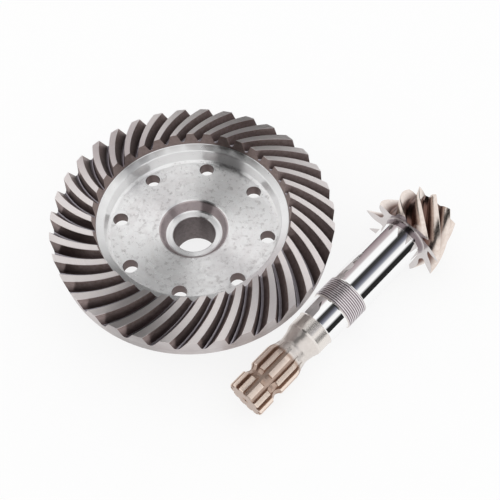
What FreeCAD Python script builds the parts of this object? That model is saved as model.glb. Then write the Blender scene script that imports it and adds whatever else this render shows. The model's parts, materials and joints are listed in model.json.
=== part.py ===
import FreeCAD, Part
import math
import os

# Spiral bevel ring and pinion gear set of an axle drive.
# Frame: millimetres, +Z up, origin on the ring gear's axis at the end face of
# its hub, which is also the surface that both gears lie on.

# Tooth system, shared by both gears
ring_teeth = 35
pinion_teeth = 9
outer_module = 7.0
normal_pressure_angle = 17.5
mean_spiral_angle = 38.0
cutter_radius = 114.0
face_width = 38.0
working_depth_factor = 1.70
clearance_factor = 0.188
ring_addendum_factor = 0.485
backlash = 0.25
root_fillet = 1.6
ring_flank_points = 2
ring_stations = 5
pinion_flank_points = 3
pinion_stations = 7

# Ring gear: heights are above the hub's end face
hub_length = 38.0
ring_apex_height = hub_length + 53.6
ring_tooth_phase = 0.5
rim_back_radius = 121.3
heel_tip_radius = 123.9
rim_back_inner_radius = 100.0
web_radius = 75.9
web_top_height = hub_length + 6.4
web_thickness = 11.4
web_underside_radius = 82.0
bevel_outer_radius = 84.3
bevel_outer_height = hub_length + 22.0
bevel_inner_radius = 77.4
bevel_inner_height = hub_length + 19.9
funnel_top_radius = 30.4
funnel_bottom_radius = 24.8
ledge_height = hub_length - 2.5
funnel_top_bevel = 1.5
funnel_bottom_bevel = 1.0
bore_radius = 18.9
hub_radius = 38.0
hub_bevel = 4.0
rim_underside_bevel = 6.0
web_bevel = 2.0
step_bevel = 0.6
bolt_holes = 8
bolt_circle_radius = 66.4
bolt_hole_radius = 6.7
bolt_hole_phase = 29.3
hole_overrun = 1.0

# Pinion shaft: stations are measured along the shaft from its splined end
spline_teeth = 12
spline_radius = 17.5
spline_root_radius = 14.2
spline_land_width = 4.7
spline_collar_end = 15.5
spline_groove_end = 25.5
spline_groove_depth = 3.1
spline_groove_flat = 6.0
spline_groove_bevel = 2.0
spline_end = 45.6
spline_end_bevel = 1.5
neck_start = 54.6
neck_radius = 14.0
neck_end = 62.9
neck_bevel = 3.0
seal_start = 72.2
seal_radius = 17.2
seal_bevel = 1.0
rear_journal_start = 85.5
rear_journal_radius = 18.2
thread_start = 106.5
thread_end = 128.7
head_journal_radius = 20.0
thread_clearance = 0.1
thread_undercut = 0.5
relief_start = 198.0
relief_depth = 0.6
head_start = 206.0
heel_edge_station = 200.0
pinion_face_width = 42.5
head_bevel = 1.6
centre_hole_radius = 3.2
centre_pilot_radius = 1.4
centre_pilot_length = 3.0
toe_recess_radius = 13.5
toe_recess_floor_radius = 12.1
toe_recess_depth = 1.5
toe_recess_bevel = 1.0
spline_phase = 13.5

# Where the pinion shaft lies beside the ring gear
shaft_end_x = 26.3
shaft_end_y = -156.8
shaft_heading = 38.75

edge_break = 0.8

# How far the cutters stand out past what they cut
cutter_margin = 1.0
cutter_overrun = 5.0
cutter_ridge_rise = math.radians(4.0)

# Values that follow from the dimensions above
shaft_angle = math.radians(90.0)
ring_pitch_angle = math.atan2(ring_teeth, pinion_teeth)
pinion_pitch_angle = shaft_angle - ring_pitch_angle
outer_cone_distance = outer_module * ring_teeth / (2.0 * math.sin(ring_pitch_angle))
inner_cone_distance = outer_cone_distance - face_width
mean_cone_distance = outer_cone_distance - face_width / 2.0
spiral_angle = math.radians(mean_spiral_angle)
transverse_pressure_angle = math.atan(math.tan(math.radians(normal_pressure_angle)) / math.cos(spiral_angle))
working_depth = working_depth_factor * outer_module
clearance = clearance_factor * outer_module
ring_addendum = ring_addendum_factor * outer_module
pinion_addendum = working_depth - ring_addendum
ring_dedendum = pinion_addendum + clearance
pinion_dedendum = ring_addendum + clearance
pinion_face_angle = pinion_pitch_angle + math.atan(pinion_addendum / outer_cone_distance)
pinion_apex = heel_edge_station + outer_cone_distance * math.cos(pinion_pitch_angle)
heel_edge_radius = (pinion_apex - heel_edge_station) * math.tan(pinion_face_angle)


def cone_angle(pitch_angle, height):
    """Angle of the cone that lies height beyond the pitch cone at the heel."""
    return pitch_angle + math.atan(height / outer_cone_distance)


def trace_angle(distance):
    """Turn of the tooth trace on the crown plane: the arc of a face mill."""
    offset_squared = (mean_cone_distance ** 2 + cutter_radius ** 2
                      - 2.0 * mean_cone_distance * cutter_radius * math.sin(spiral_angle))
    offset = math.sqrt(offset_squared)

    def bearing(at):
        return math.acos((at ** 2 + offset_squared - cutter_radius ** 2) / (2.0 * at * offset))

    return bearing(mean_cone_distance) - bearing(distance)


def involute_turn(base_angle, cone):
    """Polar angle of a spherical involute at a cone angle, zero at its base."""
    if cone <= base_angle:
        return 0.0
    rolled = math.acos(math.cos(cone) / math.cos(base_angle)) / math.sin(base_angle)
    return rolled - math.acos(math.tan(base_angle) / math.tan(cone))


def cone_point(distance, cone, azimuth):
    """Point of the gear's own cone frame, apex at the origin, heel along +Z."""
    radius = distance * math.sin(cone)
    return FreeCAD.Vector(radius * math.cos(azimuth), radius * math.sin(azimuth), distance * math.cos(cone))


def half_gap_turn(teeth, pitch_angle, cone):
    """Half the angle round the axis that a tooth gap takes at a cone angle."""
    base_angle = math.asin(math.sin(pitch_angle) * math.cos(transverse_pressure_angle))
    pitch_radius = outer_cone_distance * math.sin(pitch_angle)
    at_pitch = math.pi / (2 * teeth) + backlash / (4.0 * pitch_radius)
    return at_pitch + involute_turn(base_angle, cone) - involute_turn(base_angle, pitch_angle)


def gap_half_profile(teeth, pitch_angle, root_angle, top_angle, flank_points):
    """Cone angle and half width angle down one flank, then across its root bevel."""

    def half_width(cone):
        return half_gap_turn(teeth, pitch_angle, cone)

    low_angle = root_angle + root_fillet / outer_cone_distance
    step = 0.002
    slope = math.atan((half_width(low_angle + step) - half_width(low_angle)) * math.sin(low_angle) / step)
    rise = root_fillet * (1.0 - math.sin(slope)) / outer_cone_distance
    start_angle = root_angle + rise
    flank = []
    for step in even_steps(flank_points):
        cone = top_angle + (start_angle - top_angle) * step
        flank.append((cone, half_width(cone)))
    root_circle = outer_cone_distance * math.sin(root_angle)
    centre_width = half_width(start_angle) * root_circle - root_fillet * math.cos(slope)
    root_bevel = [flank[-1], (root_angle, centre_width / root_circle)]
    return flank, root_bevel


def even_steps(count):
    """Evenly spaced parameters from 0 to 1."""
    return [i / (count - 1.0) for i in range(count)]


def smooth_curve(points):
    """Spline through points, at evenly spaced parameters."""
    curve = Part.BSplineCurve()
    curve.interpolate(Points=points, Parameters=even_steps(len(points)))
    return curve


def skinned_face(rows):
    """Face through rows of points: one row across the tooth for each distance."""
    across = [smooth_curve(row) for row in rows]
    columns = zip(*[curve.getPoles() for curve in across])
    along = [smooth_curve(list(column)) for column in columns]
    surface = Part.BSplineSurface()
    surface.buildFromPolesMultsKnots(
        [curve.getPoles() for curve in along],
        across[0].getMultiplicities(), along[0].getMultiplicities(),
        across[0].getKnots(), along[0].getKnots(),
        False, False, across[0].Degree, along[0].Degree)
    return surface.toShape()


def gap_cutter(teeth, pitch_angle, root_angle, top_angle, hand, width, flank_points, stations):
    """Solid of one tooth gap, standing out past the blank on all open sides."""
    flank, bevel = gap_half_profile(teeth, pitch_angle, root_angle, top_angle, flank_points)
    start = outer_cone_distance - width - cutter_overrun
    length = outer_cone_distance + cutter_overrun - start
    distances = [start + length * step for step in even_steps(stations)]
    twists = [hand * trace_angle(distance) / math.sin(pitch_angle) for distance in distances]

    def side_rows(profile, side):
        return [[cone_point(distance, cone, twist + side * turn) for cone, turn in profile]
                for distance, twist in zip(distances, twists)]

    flanks = [side_rows(flank, side) for side in (1, -1)]
    bevels = [side_rows(bevel, side) for side in (1, -1)]
    ridge = [cone_point(distance, top_angle + cutter_ridge_rise, twist) for distance, twist in zip(distances, twists)]
    rows = list(range(stations))
    skins = flanks + bevels
    skins.append([[bevels[0][i][-1], bevels[1][i][-1]] for i in rows])
    skins += [[[side[i][0], ridge[i]] for i in rows] for side in flanks]
    faces = [skinned_face(skin) for skin in skins]
    for i in (0, stations - 1):
        for pair in (flanks, bevels):
            left, right = [smooth_curve(side[i]).toShape() for side in pair]
            faces.append(Part.makeRuledSurface(left, right))
        corners = [flanks[0][i][0], flanks[1][i][0], ridge[i]]
        faces.append(Part.Face(Part.makePolygon(corners + corners[:1])))
    shell = Part.Shell(faces)
    shell.sewShape()
    solid = Part.Solid(shell)
    if solid.Volume < 0:
        solid.reverse()
    return solid


def cut_gaps(blank, cutter, teeth, phase):
    """Blank with the gap cut round its axis, once for each tooth."""
    cutters = []
    for i in range(teeth):
        turned = cutter.copy()
        turned.rotate(FreeCAD.Vector(0, 0, 0), FreeCAD.Vector(0, 0, 1), phase + 360.0 * i / teeth)
        cutters.append(turned)
    return blank.cut(cutters)


def turned_solid(corners):
    """Solid of revolution from (radius, height, bevel) corners."""
    points = [FreeCAD.Vector(radius, 0, height) for radius, height, bevel in corners]
    outline = []
    for i, (radius, height, bevel) in enumerate(corners):
        corner = points[i]
        if bevel == 0:
            outline.append(corner)
            continue
        back = (points[i - 1] - corner).normalize()
        ahead = (points[(i + 1) % len(points)] - corner).normalize()
        outline.append(corner + back * bevel)
        outline.append(corner + ahead * bevel)
    face = Part.Face(Part.makePolygon(outline + outline[:1]))
    return face.revolve(FreeCAD.Vector(0, 0, 0), FreeCAD.Vector(0, 0, 1), 360)


def ring_blank():
    """Turned ring gear before its teeth are cut."""
    face_angle = cone_angle(ring_pitch_angle, ring_addendum)
    toe_height = ring_addendum * inner_cone_distance / outer_cone_distance
    toe_cone = ring_pitch_angle + math.atan(toe_height / inner_cone_distance)
    toe_reach = math.hypot(inner_cone_distance, toe_height)
    toe_radius = toe_reach * math.sin(toe_cone)
    toe_top = ring_apex_height - toe_reach * math.cos(toe_cone)
    heel_top = ring_apex_height - heel_tip_radius / math.tan(face_angle)
    web_bottom = web_top_height - web_thickness
    corners = [
        (bore_radius, 0.0, 0),
        (hub_radius - edge_break, 0.0, 0),
        (hub_radius, edge_break, 0),
        (hub_radius, web_bottom, hub_bevel),
        (web_underside_radius, web_bottom, rim_underside_bevel),
        (rim_back_inner_radius, hub_length, 0),
        (rim_back_radius - edge_break, hub_length, 0),
        (rim_back_radius, hub_length + edge_break, 0),
        (heel_tip_radius, heel_top, 0),
        (toe_radius, toe_top, 0),
        (bevel_outer_radius, bevel_outer_height, step_bevel),
        (bevel_inner_radius, bevel_inner_height, step_bevel),
        (web_radius, web_top_height, web_bevel),
        (funnel_top_radius, web_top_height, funnel_top_bevel),
        (funnel_bottom_radius, ledge_height, funnel_bottom_bevel),
        (bore_radius + edge_break, ledge_height, 0),
        (bore_radius, ledge_height - edge_break, 0),
    ]
    return turned_solid(corners)


def bolt_hole(index):
    """Plain hole through the web."""
    angle = math.radians(bolt_hole_phase + 360.0 * index / bolt_holes)
    web_bottom = web_top_height - web_thickness
    foot = FreeCAD.Vector(bolt_circle_radius * math.cos(angle), bolt_circle_radius * math.sin(angle),
                          web_bottom - hole_overrun)
    return Part.makeCylinder(bolt_hole_radius, web_thickness + 2.0 * hole_overrun, foot)


def ring_gear():
    """Ring gear with dished web, hub, bolt holes and right-hand spiral teeth."""
    root_angle = cone_angle(ring_pitch_angle, -ring_dedendum)
    top_angle = cone_angle(ring_pitch_angle, ring_addendum + cutter_margin)
    cutter = gap_cutter(ring_teeth, ring_pitch_angle, root_angle, top_angle, 1,
                        face_width, ring_flank_points, ring_stations)
    cutter.rotate(FreeCAD.Vector(0, 0, 0), FreeCAD.Vector(1, 0, 0), 180)
    cutter.translate(FreeCAD.Vector(0, 0, ring_apex_height))
    gear = cut_gaps(ring_blank(), cutter, ring_teeth, ring_tooth_phase)
    return gear.cut([bolt_hole(i) for i in range(bolt_holes)])


def pinion_blank():
    """Turned pinion shaft, its splined end at the origin, its head along +Z."""
    cosine = math.cos(pinion_pitch_angle)
    toe_distance = outer_cone_distance - pinion_face_width
    toe_share = toe_distance / outer_cone_distance
    toe_rise = pinion_addendum * toe_share * math.sin(pinion_pitch_angle)
    toe_face = pinion_apex - toe_distance * cosine
    toe_station = toe_face + toe_rise
    toe_radius = (pinion_apex - toe_station) * math.tan(pinion_face_angle)
    groove_middle = (spline_collar_end + spline_groove_end) / 2.0
    groove_floor = spline_radius - spline_groove_depth
    thread_radius = head_journal_radius - thread_clearance
    relief_radius = head_journal_radius - relief_depth
    corners = [
        (0.0, 0.0, 0),
        (spline_radius - edge_break, 0.0, 0),
        (spline_radius, edge_break, 0),
        (spline_radius, spline_collar_end, 0),
        (groove_floor, groove_middle - spline_groove_flat / 2.0, spline_groove_bevel),
        (groove_floor, groove_middle + spline_groove_flat / 2.0, spline_groove_bevel),
        (spline_radius, spline_groove_end, 0),
        (spline_radius, spline_end, spline_end_bevel),
        (neck_radius, neck_start, neck_bevel),
        (neck_radius, neck_end, neck_bevel),
        (seal_radius, seal_start, seal_bevel),
        (seal_radius, rear_journal_start, 0),
        (rear_journal_radius, rear_journal_start + edge_break, 0),
        (rear_journal_radius, thread_start, thread_undercut),
        (thread_radius - edge_break, thread_start, 0),
        (thread_radius, thread_start + edge_break, 0),
        (thread_radius, thread_end - edge_break, 0),
        (head_journal_radius, thread_end, 0),
        (head_journal_radius, relief_start, 0),
        (relief_radius, relief_start + edge_break, 0),
        (relief_radius, head_start, head_bevel),
        (heel_edge_radius, heel_edge_station, 0),
        (toe_radius, toe_station, 0),
        (toe_recess_radius, toe_face, 0),
        (toe_recess_floor_radius, toe_face - toe_recess_depth, toe_recess_bevel),
        (0.0, toe_face - toe_recess_depth, 0),
    ]
    return turned_solid(corners), toe_face - toe_recess_depth


def centre_hole():
    """Centre hole for turning and grinding, opening at the origin along -Z."""
    cone_depth = (centre_hole_radius - centre_pilot_radius) / math.tan(math.radians(30.0))
    pilot_depth = cone_depth + centre_pilot_length
    return turned_solid([
        (0.0, -pilot_depth, 0),
        (centre_pilot_radius, -pilot_depth, 0),
        (centre_pilot_radius, -cone_depth, 0),
        (centre_hole_radius, 0.0, 0),
        (centre_hole_radius, hole_overrun, 0),
        (0.0, hole_overrun, 0),
    ])


def spline_gap():
    """Gap between two parallel-sided spline lands, centred on the X axis."""
    half_pitch = math.pi / spline_teeth
    outside = spline_radius + cutter_margin
    half_land = spline_land_width / 2.0

    def side_point(radius, side):
        turn = half_pitch - math.asin(half_land / radius)
        return FreeCAD.Vector(radius * math.cos(turn), side * radius * math.sin(turn), -cutter_margin)

    root_middle = FreeCAD.Vector(spline_root_radius, 0, -cutter_margin)
    root = Part.Arc(side_point(spline_root_radius, -1), root_middle, side_point(spline_root_radius, 1))
    edges = [
        root.toShape(),
        Part.makeLine(side_point(spline_root_radius, 1), side_point(outside, 1)),
        Part.makeLine(side_point(outside, 1), side_point(outside, -1)),
        Part.makeLine(side_point(outside, -1), side_point(spline_root_radius, -1)),
    ]
    face = Part.Face(Part.Wire(edges))
    return face.extrude(FreeCAD.Vector(0, 0, neck_start + cutter_margin))


def lying_placement():
    """Placement of the shaft lying on its spline and on two teeth, beside the ring."""
    half_gap = half_gap_turn(pinion_teeth, pinion_pitch_angle, pinion_face_angle)
    support_radius = heel_edge_radius * math.cos(half_gap)
    tilt = math.atan((support_radius - spline_radius) / (heel_edge_station - edge_break))
    heading = math.radians(shaft_heading)
    axis = FreeCAD.Vector(math.cos(tilt) * math.cos(heading), math.cos(tilt) * math.sin(heading), math.sin(tilt))
    height = spline_radius * math.cos(tilt) - edge_break * math.sin(tilt)
    rotation = FreeCAD.Rotation(FreeCAD.Vector(0, 0, 1), axis)
    return FreeCAD.Placement(FreeCAD.Vector(shaft_end_x, shaft_end_y, height), rotation)


def downward_gap_phase():
    """Turn of the teeth, in degrees, that puts one gap's heel end straight down."""
    heel_edge_distance = math.hypot(pinion_apex - heel_edge_station, heel_edge_radius)
    twist = trace_angle(heel_edge_distance) / math.sin(pinion_pitch_angle)
    return shaft_heading - math.degrees(twist)


def pinion_shaft():
    """Pinion shaft with left-hand spiral teeth, journals, thread and spline."""
    blank, toe_floor = pinion_blank()
    root_angle = cone_angle(pinion_pitch_angle, -pinion_dedendum)
    top_angle = cone_angle(pinion_pitch_angle, pinion_addendum + cutter_margin)
    cutter = gap_cutter(pinion_teeth, pinion_pitch_angle, root_angle, top_angle, -1,
                        pinion_face_width, pinion_flank_points, pinion_stations)
    cutter.rotate(FreeCAD.Vector(0, 0, 0), FreeCAD.Vector(1, 0, 0), 180)
    cutter.translate(FreeCAD.Vector(0, 0, pinion_apex))
    shaft = cut_gaps(blank, cutter, pinion_teeth, downward_gap_phase())
    shaft = cut_gaps(shaft, spline_gap(), spline_teeth, spline_phase)
    head_hole = centre_hole()
    head_hole.translate(FreeCAD.Vector(0, 0, toe_floor))
    tail_hole = centre_hole()
    tail_hole.rotate(FreeCAD.Vector(0, 0, 0), FreeCAD.Vector(1, 0, 0), 180)
    shaft = shaft.cut([head_hole, tail_hole])
    shaft.Placement = lying_placement()
    return shaft


def main():
    os.makedirs("parts", exist_ok=True)
    ring_gear().exportStep("parts/ring_gear.step")
    pinion_shaft().exportStep("parts/pinion_shaft.step")


main()
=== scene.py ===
import json
import math

import bpy
from mathutils import Matrix, Vector

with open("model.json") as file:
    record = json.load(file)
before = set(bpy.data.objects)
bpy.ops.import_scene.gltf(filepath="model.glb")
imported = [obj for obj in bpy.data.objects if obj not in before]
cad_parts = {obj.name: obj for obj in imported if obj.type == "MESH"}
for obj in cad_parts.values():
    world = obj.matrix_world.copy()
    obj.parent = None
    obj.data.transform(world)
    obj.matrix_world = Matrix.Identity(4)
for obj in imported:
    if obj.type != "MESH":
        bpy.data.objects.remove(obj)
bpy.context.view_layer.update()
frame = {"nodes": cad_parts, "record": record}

# Camera of the photograph, metres, in the frame of the part
CAMERA_PLACE = Vector((0.0, -0.43296, 0.66946))
CAMERA_AIM = Vector((0.04715, -0.02545, 0.038))
CAMERA_ROLL = math.radians(-0.774)
CAMERA_LENS = 61.48

# Direction across the dark strip that the turned faces mirror
STRIP_ACROSS = (0.866, -0.5, 0.0)
STRIP_MIDDLE = -0.28
STRIP_HALF_WIDTH = 0.25

# Bright window in the middle of the strip and the cosine of its half angle
WINDOW_MIDDLE = (0.0, 0.56, 0.83)
WINDOW_EDGE = 0.992

# Reach of the cards beside the shaft, as cosines to its axis
CARDS_START = 0.22
CARDS_END = 0.52

# Share of plain white in the table as the camera and the metal see it
FLOOR_WHITENESS = 0.82

# Roughness of the turned faces of the dish
TURNED_ROUGHNESS = 0.29

# Ring gear surfaces: radii and heights in millimetres
TEETH_INNER = 84.2
TEETH_BOTTOM = 47.0
DISH_RADIUS = 84.1
DISH_BOTTOM = 34.0
FACE_APEX = 91.6
FACE_ANGLE = math.radians(77.12)
WEB_HEIGHT = 44.4
WEB_RADIUS = 75.9
FUNNEL_RADIUS = 30.4
LEDGE_HEIGHT = 35.5
LEDGE_RADIUS = 25.2
HOLES_INNER = 59.0
HOLES_OUTER = 74.0
BORE_RADIUS = 18.9

# Pinion shaft stations from its splined end, in millimetres
SPLINE_END = 50.0
LAND_RADIUS = 16.9
SEAL_START = 71.5
JOURNAL_START = 86.0
THREAD_START = 106.5
THREAD_END = 128.2
THREAD_PITCH = 2.0
HEEL_EDGE = 199.0
HEAD_START = 206.0
RELIEF_START = 199.5
JOURNAL_RADIUS = 20.0
PINION_APEX = 322.5
PINION_FACE_SLOPE = 0.33

mounts = {mount["name"]: mount for mount in frame["record"]["mounts"]}
SHAFT_AXIS = -Vector(mounts["pinion_head_journal"]["axis"]).normalized()
HEAD_JOURNAL_MIDDLE = Vector(mounts["pinion_head_journal"]["pos_m"])
HEAD_JOURNAL_STATION = 163.35
SHAFT_END = HEAD_JOURNAL_MIDDLE - SHAFT_AXIS * HEAD_JOURNAL_STATION / 1000.0
SHAFT_SIDE = SHAFT_AXIS.cross(Vector((0.0, 0.0, 1.0))).normalized()
SHAFT_TOP = SHAFT_SIDE.cross(SHAFT_AXIS).normalized()


class Graph:
    """Node tree of a material or a world, with short calls for common nodes."""

    def __init__(self, owner):
        owner.use_nodes = True
        self.tree = owner.node_tree
        self.tree.nodes.clear()

    def node(self, kind, **settings):
        made = self.tree.nodes.new(kind)
        for name, value in settings.items():
            setattr(made, name, value)
        return made

    def put(self, value, socket):
        if isinstance(value, bpy.types.NodeSocket):
            self.tree.links.new(value, socket)
        else:
            socket.default_value = value

    def math(self, operation, *values, clamp=False):
        made = self.node("ShaderNodeMath", operation=operation, use_clamp=clamp)
        for value, socket in zip(values, made.inputs):
            self.put(value, socket)
        return made.outputs[0]

    def vector(self, operation, *values):
        made = self.node("ShaderNodeVectorMath", operation=operation)
        for value, socket in zip(values, made.inputs):
            self.put(value, socket)
        return made.outputs["Value" if operation in ("DOT_PRODUCT", "LENGTH") else "Vector"]

    def scaled(self, vector, factor):
        made = self.node("ShaderNodeVectorMath", operation="SCALE")
        self.put(vector, made.inputs[0])
        self.put(factor, made.inputs["Scale"])
        return made.outputs[0]

    def above(self, value, edge, softness):
        """Mask that rises from 0 to 1 as the value passes the edge."""
        made = self.node("ShaderNodeMapRange", interpolation_type="SMOOTHSTEP")
        self.put(value, made.inputs["Value"])
        made.inputs["From Min"].default_value = edge - softness
        made.inputs["From Max"].default_value = edge + softness
        return made.outputs["Result"]

    def between(self, value, low, high, softness):
        rising = self.above(value, low, softness)
        falling = self.math("SUBTRACT", 1.0, self.above(value, high, softness))
        return self.math("MULTIPLY", rising, falling)

    def inverse(self, mask):
        return self.math("SUBTRACT", 1.0, mask)

    def both(self, first, second):
        return self.math("MULTIPLY", first, second)

    def remap(self, value, low, high, to_low, to_high):
        made = self.node("ShaderNodeMapRange")
        self.put(value, made.inputs["Value"])
        made.inputs["From Min"].default_value = low
        made.inputs["From Max"].default_value = high
        made.inputs["To Min"].default_value = to_low
        made.inputs["To Max"].default_value = to_high
        return made.outputs["Result"]

    def mix(self, mask, first, second):
        made = self.node("ShaderNodeMix", data_type="RGBA")
        self.put(mask, made.inputs["Factor"])
        self.put(colour(first), made.inputs["A"])
        self.put(colour(second), made.inputs["B"])
        return made.outputs["Result"]

    def blend(self, mask, first, second):
        made = self.node("ShaderNodeMix", data_type="FLOAT")
        self.put(mask, made.inputs["Factor"])
        self.put(first, made.inputs["A"])
        self.put(second, made.inputs["B"])
        return made.outputs["Result"]

    def noise(self, vector, scale, detail=3.0, roughness=0.5):
        made = self.node("ShaderNodeTexNoise")
        self.put(vector, made.inputs["Vector"])
        made.inputs["Scale"].default_value = scale
        made.inputs["Detail"].default_value = detail
        made.inputs["Roughness"].default_value = roughness
        return made.outputs["Fac"]

    def combine(self, x, y, z):
        made = self.node("ShaderNodeCombineXYZ")
        for value, socket in zip((x, y, z), made.inputs):
            self.put(value, socket)
        return made.outputs[0]

    def separate(self, vector):
        made = self.node("ShaderNodeSeparateXYZ")
        self.put(vector, made.inputs[0])
        return made.outputs

    def ramp(self, value, stops):
        made = self.node("ShaderNodeValToRGB")
        self.put(value, made.inputs["Fac"])
        elements = made.color_ramp.elements
        while len(elements) < len(stops):
            elements.new(0.5)
        for element, (position, shade) in zip(elements, stops):
            element.position = position
            element.color = colour(shade)
        return made.outputs["Color"]


def tone(red, green=None, blue=None):
    """Linear colour of a display level from 0 to 255, grey where one is given."""
    levels = (red, red if green is None else green, red if blue is None else blue)
    return tuple(((level / 255.0 + 0.055) / 1.055) ** 2.4 for level in levels)


def colour(value):
    """Grey level or RGB as RGBA; a socket passes through."""
    if isinstance(value, (int, float)):
        return (value, value, value, 1.0)
    if isinstance(value, tuple):
        return (*value, 1.0)
    return value


def steel(graph, shade, roughness, height, bump_strength=0.3):
    """Metal surface with the given colour, roughness and bump height."""
    shader = graph.node("ShaderNodeBsdfPrincipled")
    shader.inputs["Metallic"].default_value = 1.0
    graph.put(shade, shader.inputs["Base Color"])
    graph.put(roughness, shader.inputs["Roughness"])
    bump = graph.node("ShaderNodeBump")
    bump.inputs["Strength"].default_value = bump_strength
    bump.inputs["Distance"].default_value = 0.0002
    graph.put(height, bump.inputs["Height"])
    graph.put(bump.outputs["Normal"], shader.inputs["Normal"])
    output = graph.node("ShaderNodeOutputMaterial")
    graph.put(shader.outputs["BSDF"], output.inputs["Surface"])
    return shader


def ring_tooth_shade(graph, shade, masks, below_face, mottle, grain, rim_shade):
    """Paints shade on the flanks, darker towards the bottom of the gaps, and on the toe ends; pale roots and
    tops, rim-coloured heels.
    """
    # Painted shade: the flanks are coloured dark for the shade between the teeth, darker still towards the
    # bottom of the gaps.
    painted_flank_shade = graph.mix(mottle, tone(104, 88, 84), tone(176, 160, 158))
    painted_gap_shade = graph.remap(below_face, 5.0, 13.0, 0.0, 1.0)
    painted_flank_shade = graph.mix(painted_gap_shade, painted_flank_shade, tone(82, 70, 70))
    root_shade = graph.mix(mottle, tone(176, 170, 178), tone(204, 199, 206))
    crest_shade = graph.mix(grain, tone(232, 223, 221), tone(248, 243, 242))
    # Painted shade: the inward-facing toe ends are coloured darker grey.
    painted_toe_shade = graph.mix(mottle, tone(118, 102, 98), tone(172, 156, 152))
    shade = graph.mix(masks["toothed"], shade, painted_flank_shade)
    shade = graph.mix(masks["root"], shade, root_shade)
    shade = graph.mix(masks["toe"], shade, painted_toe_shade)
    shade = graph.mix(masks["heel"], shade, rim_shade)
    return graph.mix(masks["crest"], shade, crest_shade)


def web_shade(graph, millimetres, radius, azimuth):
    """Bright web with faint turning streaks and stains."""
    streaks = graph.noise(graph.combine(graph.math("MULTIPLY", radius, 0.16),
                                        graph.math("MULTIPLY", azimuth, 2.0), 0.0), 1.0, 5.0, 0.7)
    streaked = graph.math("MULTIPLY", graph.above(streaks, 0.52, 0.10), 0.35)
    stain = graph.above(graph.noise(millimetres, 0.22, 5.0, 0.7), 0.58, 0.05)
    shade = graph.mix(streaked, tone(254), tone(232, 228, 228))
    return graph.mix(graph.math("MULTIPLY", stain, 0.3), shade, tone(120, 110, 108))


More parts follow.
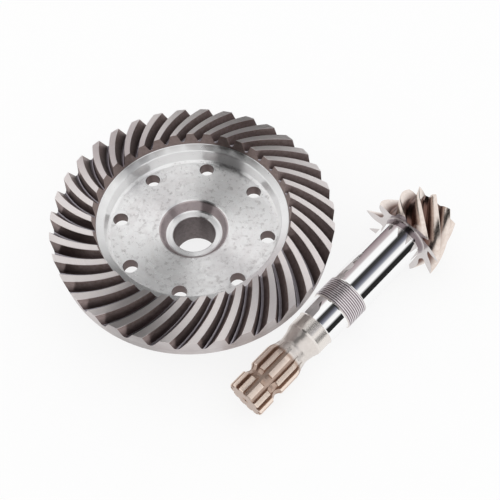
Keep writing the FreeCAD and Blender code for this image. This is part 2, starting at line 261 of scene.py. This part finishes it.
def ring_steel():
    """Lapped teeth with painted shade on flanks and toe ends, turned rim, scraped dish that keeps its turning
    marks; funnel, bore and bolt holes painted darker as shade.
    """
    material = bpy.data.materials.new("ring_steel_finish")
    graph = Graph(material)
    place = graph.node("ShaderNodeTexCoord").outputs["Object"]
    millimetres = graph.scaled(place, 1000.0)
    x, y, z = graph.separate(millimetres)
    radius = graph.math("SQRT", graph.math("ADD", graph.math("MULTIPLY", x, x), graph.math("MULTIPLY", y, y)))
    normal = graph.node("ShaderNodeNewGeometry").outputs["Normal"]
    nx, ny, nz = graph.separate(normal)
    outward = graph.math("DIVIDE", graph.math(
        "ADD", graph.math("MULTIPLY", x, nx), graph.math("MULTIPLY", y, ny)), radius)
    azimuth = graph.math("ARCTAN2", y, x)

    cloud = graph.noise(millimetres, 0.05, 4.0, 0.6)
    mottle = graph.noise(millimetres, 0.35, 5.0, 0.65)
    grain = graph.noise(graph.combine(graph.math("MULTIPLY", radius, 3.0),
                                      graph.math("MULTIPLY", azimuth, 3.0), z), 1.0, 4.0, 0.6)

    face_height = graph.math("SUBTRACT", FACE_APEX, graph.math("DIVIDE", radius, math.tan(FACE_ANGLE)))
    below_face = graph.math("SUBTRACT", face_height, z)
    facing_up = graph.above(nz, 0.72, 0.12)
    toothed = graph.both(graph.above(radius, TEETH_INNER, 0.1), graph.above(z, TEETH_BOTTOM, 0.5))
    crest = graph.both(toothed, graph.inverse(graph.above(below_face, 0.4, 0.2)))
    teeth = {
        "toothed": toothed,
        "root": graph.both(toothed, facing_up),
        "toe": graph.both(toothed, graph.inverse(graph.above(outward, -0.86, 0.05))),
        "heel": graph.both(toothed, graph.above(outward, 0.86, 0.06)),
        "crest": crest,
    }
    dish = graph.both(graph.inverse(graph.above(radius, DISH_RADIUS, 0.1)), graph.above(z, DISH_BOTTOM, 0.5))
    funnel = graph.both(graph.between(radius, LEDGE_RADIUS, FUNNEL_RADIUS + 0.4, 0.15),
                        graph.between(z, LEDGE_HEIGHT + 0.4, WEB_HEIGHT - 0.3, 0.15))
    web = graph.both(graph.between(z, WEB_HEIGHT - 0.5, WEB_HEIGHT + 1.5, 0.3),
                     graph.between(radius, FUNNEL_RADIUS + 0.5, WEB_RADIUS, 0.3))
    bore = graph.both(graph.inverse(graph.above(radius, BORE_RADIUS + 0.3, 0.1)), graph.inverse(facing_up))
    holes = graph.both(graph.between(radius, HOLES_INNER, HOLES_OUTER, 0.5), graph.both(
        graph.inverse(graph.above(z, WEB_HEIGHT - 0.3, 0.2)), graph.inverse(graph.above(nz, 0.4, 0.1))))

    rim_shade = graph.mix(cloud, tone(186, 176, 176), tone(226, 222, 221))
    shade = ring_tooth_shade(graph, rim_shade, teeth, below_face, mottle, grain, rim_shade)
    shade = graph.mix(dish, shade, tone(250))
    # Painted shade: the funnel is coloured greyer than the web, as shade in the countersink.
    shade = graph.mix(funnel, shade, graph.mix(mottle, tone(166, 152, 154), tone(206, 196, 197)))
    shade = graph.mix(web, shade, web_shade(graph, millimetres, radius, azimuth))
    # Painted shade: the bore wall is coloured dark grey for the shade inside it.
    shade = graph.mix(bore, shade, graph.mix(mottle, tone(96, 88, 88), tone(168, 158, 158)))
    # Painted shade: the bolt hole walls are coloured dark for the shade inside them.
    shade = graph.mix(holes, shade, tone(118, 104, 102))

    satin = graph.blend(crest, 0.42, 0.36)
    rough = graph.blend(dish, satin, TURNED_ROUGHNESS)
    rough = graph.blend(graph.both(toothed, graph.inverse(crest)), rough, 0.40)
    rough = graph.math("ADD", rough, graph.remap(mottle, 0.0, 1.0, -0.05, 0.05))
    scrape = graph.above(graph.noise(millimetres, 0.30, 6.0, 0.75), 0.58, 0.03)
    height = graph.math("ADD", graph.math("MULTIPLY", grain, 0.5), graph.math("MULTIPLY", mottle, 0.3))
    height = graph.blend(dish, height, graph.both(web, graph.math("MULTIPLY", scrape, 0.45)))
    shader = steel(graph, shade, rough, height)
    shader.inputs["Anisotropic"].default_value = 1.0
    shader.inputs["Anisotropic Rotation"].default_value = 0.25
    turning = graph.node("ShaderNodeTangent", direction_type="RADIAL", axis="Z")
    graph.put(turning.outputs["Tangent"], shader.inputs["Tangent"])
    return material


def spline_shade(graph, radius, mottle):
    """Brown grooves, painted darker as shade, and paler lands of the splined end."""
    # Painted shade: the grooves are coloured darker brown than the lands.
    groove = graph.mix(mottle, tone(166, 142, 128), tone(206, 184, 170))
    land = graph.mix(mottle, tone(240, 216, 200), tone(255, 242, 230))
    return graph.mix(graph.above(radius, LAND_RADIUS, 0.3), groove, land)


def pinion_tooth_shade(graph, station, radius, mottle):
    """Pale bronze teeth with painted shade, darker towards the bottom of their gaps."""
    face_radius = graph.math("MULTIPLY", graph.math("SUBTRACT", PINION_APEX, station), PINION_FACE_SLOPE)
    depth = graph.math("SUBTRACT", face_radius, radius)
    shade = graph.mix(mottle, tone(214, 194, 181), tone(252, 244, 238))
    # Painted shade: darker brown towards the bottom of the gaps between the teeth.
    return graph.mix(graph.above(depth, 6.0, 4.5), shade, tone(112, 86, 78))


def shaft_steel():
    """Bright ground journals, fine thread, satin turned steel, bronzed teeth."""
    material = bpy.data.materials.new("shaft_steel_finish")
    graph = Graph(material)
    place = graph.node("ShaderNodeTexCoord").outputs["Object"]
    along = graph.vector("SUBTRACT", place, tuple(SHAFT_END))
    along = graph.scaled(along, 1000.0)
    station = graph.vector("DOT_PRODUCT", along, tuple(SHAFT_AXIS))
    axial = graph.scaled(tuple(SHAFT_AXIS), station)
    radius = graph.vector("LENGTH", graph.vector("SUBTRACT", along, axial))
    normal = graph.node("ShaderNodeNewGeometry").outputs["Normal"]
    facing_end = graph.vector("DOT_PRODUCT", normal, tuple(-SHAFT_AXIS))

    mottle = graph.noise(along, 0.35, 5.0, 0.6)
    cloud = graph.noise(along, 0.06, 3.0, 0.5)
    turned = graph.noise(graph.combine(graph.math("MULTIPLY", station, 4.0), 0.0, 0.0), 1.0, 3.0, 0.6)
    turns = graph.math("PINGPONG", station, THREAD_PITCH / 2.0)

    head = graph.math("MAXIMUM", graph.above(station, HEAD_START, 0.1), graph.both(
        graph.above(station, HEEL_EDGE, 0.1), graph.above(radius, JOURNAL_RADIUS + 0.2, 0.1)))
    ground = graph.both(graph.above(station, JOURNAL_START, 0.2), graph.inverse(
        graph.math("MAXIMUM", head, graph.between(station, THREAD_START, THREAD_END, 0.2))))
    thread = graph.between(station, THREAD_START + 0.6, THREAD_END - 0.4, 0.1)
    relief = graph.between(station, RELIEF_START, HEAD_START, 0.3)
    spline = graph.inverse(graph.above(station, SPLINE_END, 1.5))
    seal = graph.between(station, SEAL_START, JOURNAL_START, 0.3)
    heel = graph.both(head, graph.above(facing_end, 0.75, 0.1))

    shade = graph.mix(mottle, tone(214, 206, 200), tone(238, 232, 227))
    shade = graph.mix(spline, shade, spline_shade(graph, radius, mottle))
    shade = graph.mix(seal, shade, graph.mix(turned, tone(226, 219, 213), tone(244, 239, 234)))
    shade = graph.mix(ground, shade, tone(250))
    # Painted shade: the thread is coloured dark between its crests.
    crests = graph.above(turns, THREAD_PITCH / 4.0, 0.2)
    shade = graph.mix(thread, shade, graph.mix(crests, tone(120, 108, 112), tone(236, 230, 233)))
    # Painted shade: the relief groove is coloured darker grey.
    shade = graph.mix(relief, shade, tone(158, 148, 152))
    shade = graph.mix(head, shade, pinion_tooth_shade(graph, station, radius, mottle))
    shade = graph.mix(heel, shade, graph.mix(cloud, tone(206, 200, 199), tone(226, 221, 220)))

    rough = graph.blend(ground, 0.34, 0.05)
    rough = graph.blend(seal, rough, 0.26)
    rough = graph.blend(head, rough, 0.22)
    rough = graph.math("ADD", rough, graph.remap(mottle, 0.0, 1.0, -0.03, 0.03))
    grooves = graph.both(graph.math("MULTIPLY", turns, 2.5), thread)
    unworked = graph.inverse(graph.math("MAXIMUM", ground, head))
    finish = graph.both(graph.math("MULTIPLY", turned, 0.25), unworked)
    steel(graph, shade, rough, graph.math("ADD", grooves, finish), bump_strength=0.6)
    return material


def floor_white():
    """Pale table that keeps the shadow and shows white in the picture."""
    material = bpy.data.materials.new("table_white")
    graph = Graph(material)
    place = graph.node("ShaderNodeTexCoord").outputs["Object"]
    speck = graph.noise(place, 40.0, 2.0, 0.5)
    shade = graph.mix(speck, (0.92, 0.92, 0.92), (0.95, 0.95, 0.95))
    shader = graph.node("ShaderNodeBsdfPrincipled")
    graph.put(shade, shader.inputs["Base Color"])
    shader.inputs["Roughness"].default_value = 0.9
    shader.inputs["Specular IOR Level"].default_value = 0.0
    white = graph.node("ShaderNodeEmission")
    path = graph.node("ShaderNodeLightPath")
    seen = graph.math("MAXIMUM", path.outputs["Is Camera Ray"], path.outputs["Is Glossy Ray"])
    shown = graph.node("ShaderNodeMixShader")
    graph.put(graph.math("MULTIPLY", seen, FLOOR_WHITENESS), shown.inputs[0])
    graph.put(shader.outputs["BSDF"], shown.inputs[1])
    graph.put(white.outputs["Emission"], shown.inputs[2])
    output = graph.node("ShaderNodeOutputMaterial")
    graph.put(shown.outputs["Shader"], output.inputs["Surface"])
    return material


def add_floor():
    bpy.ops.mesh.primitive_plane_add(size=6.0, location=(0.0, 0.0, 0.0))
    floor = bpy.context.object
    floor.name = "table"
    floor.data.materials.append(floor_white())


def studio_world():
    """White room; metal also sees a dark strip with a bright window, and long cards beside the shaft."""
    world = bpy.data.worlds.new("studio")
    bpy.context.scene.world = world
    graph = Graph(world)
    direction = graph.node("ShaderNodeTexCoord").outputs["Generated"]
    turn = graph.math("ARCTAN2", graph.vector("DOT_PRODUCT", direction, tuple(SHAFT_TOP)),
                      graph.vector("DOT_PRODUCT", direction, tuple(SHAFT_SIDE)))
    turn = graph.math("DIVIDE", turn, math.pi)
    cards = graph.ramp(turn, [
        (0.00, 0.02), (0.13, 0.02), (0.19, 1.0), (0.29, 0.95),
        (0.34, (0.28, 0.29, 0.34)), (0.41, (0.10, 0.10, 0.13)),
        (0.46, 0.04), (0.53, 0.04), (0.58, 1.0), (0.72, 1.0), (0.78, tone(190, 178, 180)),
        (1.00, tone(128, 112, 116))])
    axial = graph.vector("DOT_PRODUCT", direction, tuple(SHAFT_AXIS))
    within = graph.between(axial, CARDS_START, CARDS_END, 0.04)
    strip = graph.between(graph.vector("DOT_PRODUCT", direction, STRIP_ACROSS),
                          STRIP_MIDDLE - STRIP_HALF_WIDTH, STRIP_MIDDLE + STRIP_HALF_WIDTH, 0.04)
    window = graph.above(graph.vector("DOT_PRODUCT", direction, WINDOW_MIDDLE), WINDOW_EDGE, 0.005)
    strip = graph.both(strip, graph.inverse(window))
    polished = graph.mix(within, graph.mix(strip, 1.0, 0.01), cards)
    path = graph.node("ShaderNodeLightPath")
    seen = graph.mix(path.outputs["Is Glossy Ray"], (1.0, 1.0, 1.0), polished)
    background = graph.node("ShaderNodeBackground")
    graph.put(seen, background.inputs["Color"])
    output = graph.node("ShaderNodeOutputWorld")
    graph.put(background.outputs["Background"], output.inputs["Surface"])


def add_camera():
    data = bpy.data.cameras.new("camera")
    data.lens = CAMERA_LENS
    data.sensor_width = 36.0
    camera = bpy.data.objects.new("camera", data)
    bpy.context.scene.collection.objects.link(camera)
    turn = (CAMERA_PLACE - CAMERA_AIM).to_track_quat("Z", "Y").to_matrix().to_4x4()
    camera.matrix_world = Matrix.Translation(CAMERA_PLACE) @ turn @ Matrix.Rotation(CAMERA_ROLL, 4, "Z")
    bpy.context.scene.camera = camera


def dress(node, material):
    """Gives a CAD node its finish."""
    for slot in frame["nodes"][node].material_slots:
        slot.material = material


def main():
    bpy.context.scene.view_settings.view_transform = "Standard"
    dress("ring_gear", ring_steel())
    dress("pinion_shaft", shaft_steel())
    add_floor()
    studio_world()
    add_camera()


main()
